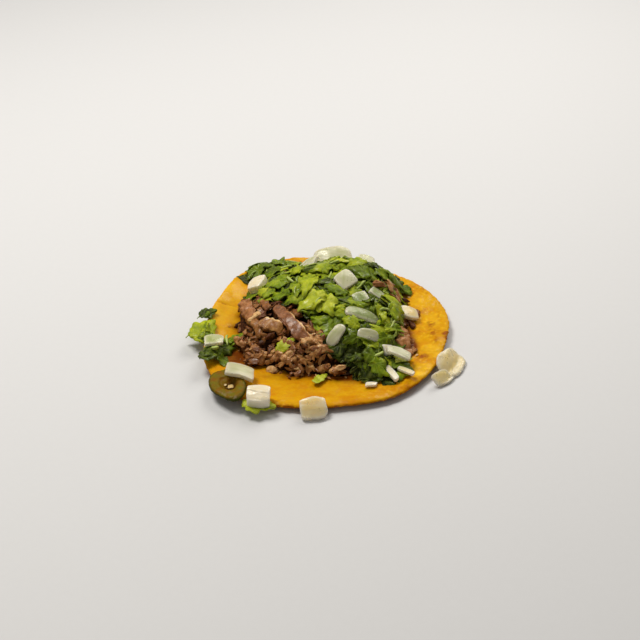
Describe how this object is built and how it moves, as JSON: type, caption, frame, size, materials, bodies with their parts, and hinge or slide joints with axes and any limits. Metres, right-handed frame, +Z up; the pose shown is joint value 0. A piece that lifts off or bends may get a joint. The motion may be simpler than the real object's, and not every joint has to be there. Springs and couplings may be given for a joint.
{
  "type": "open taco",
  "caption": "Open taco: a flat soft maize tortilla with a heap of chopped grilled beef, coriander leaves, diced onion and a slice of green chilli.",
  "frame": {"origin": "middle of the tortilla's flat underside, on the surface that it lies on", "axes": "+Z up out of the tortilla; -Y towards the eater; +X to the eater's right"},
  "size_m": [0.1424, 0.1393, 0.0287],
  "materials": {
    "tortilla": "soft oiled maize dough",
    "beef": "moist seared meat",
    "coriander": "fresh wet leaf",
    "onion": "wet translucent onion",
    "chilli": "glossy pickled chilli"
  },
  "bodies": {
    "root": {"tortilla": "tortilla", "beef": "beef", "coriander": "coriander", "fallen_leaf_1": "coriander", "fallen_leaf_2": "coriander", "fallen_leaf_3": "coriander", "fallen_leaf_4": "coriander", "fallen_leaf_5": "coriander", "fallen_leaf_6": "coriander", "chilli_slice_1": "chilli", "fallen_onion_1": "onion", "fallen_onion_2": "onion", "fallen_onion_3": "onion", "fallen_onion_4": "onion", "fallen_onion_5": "onion", "fallen_onion_6": "onion", "fallen_onion_7": "onion", "fallen_onion_8": "onion", "beef_leaf_1": "coriander", "beef_leaf_2": "coriander", "heap_onion_1": "onion", "heap_onion_2": "onion", "heap_onion_3": "onion", "heap_onion_4": "onion", "heap_onion_5": "onion", "heap_onion_6": "onion", "heap_onion_7": "onion", "heap_onion_8": "onion", "heap_onion_9": "onion", "heap_onion_10": "onion", "heap_onion_11": "onion", "heap_onion_12": "onion", "heap_onion_13": "onion", "heap_onion_14": "onion"}
  },
  "joints": []
}
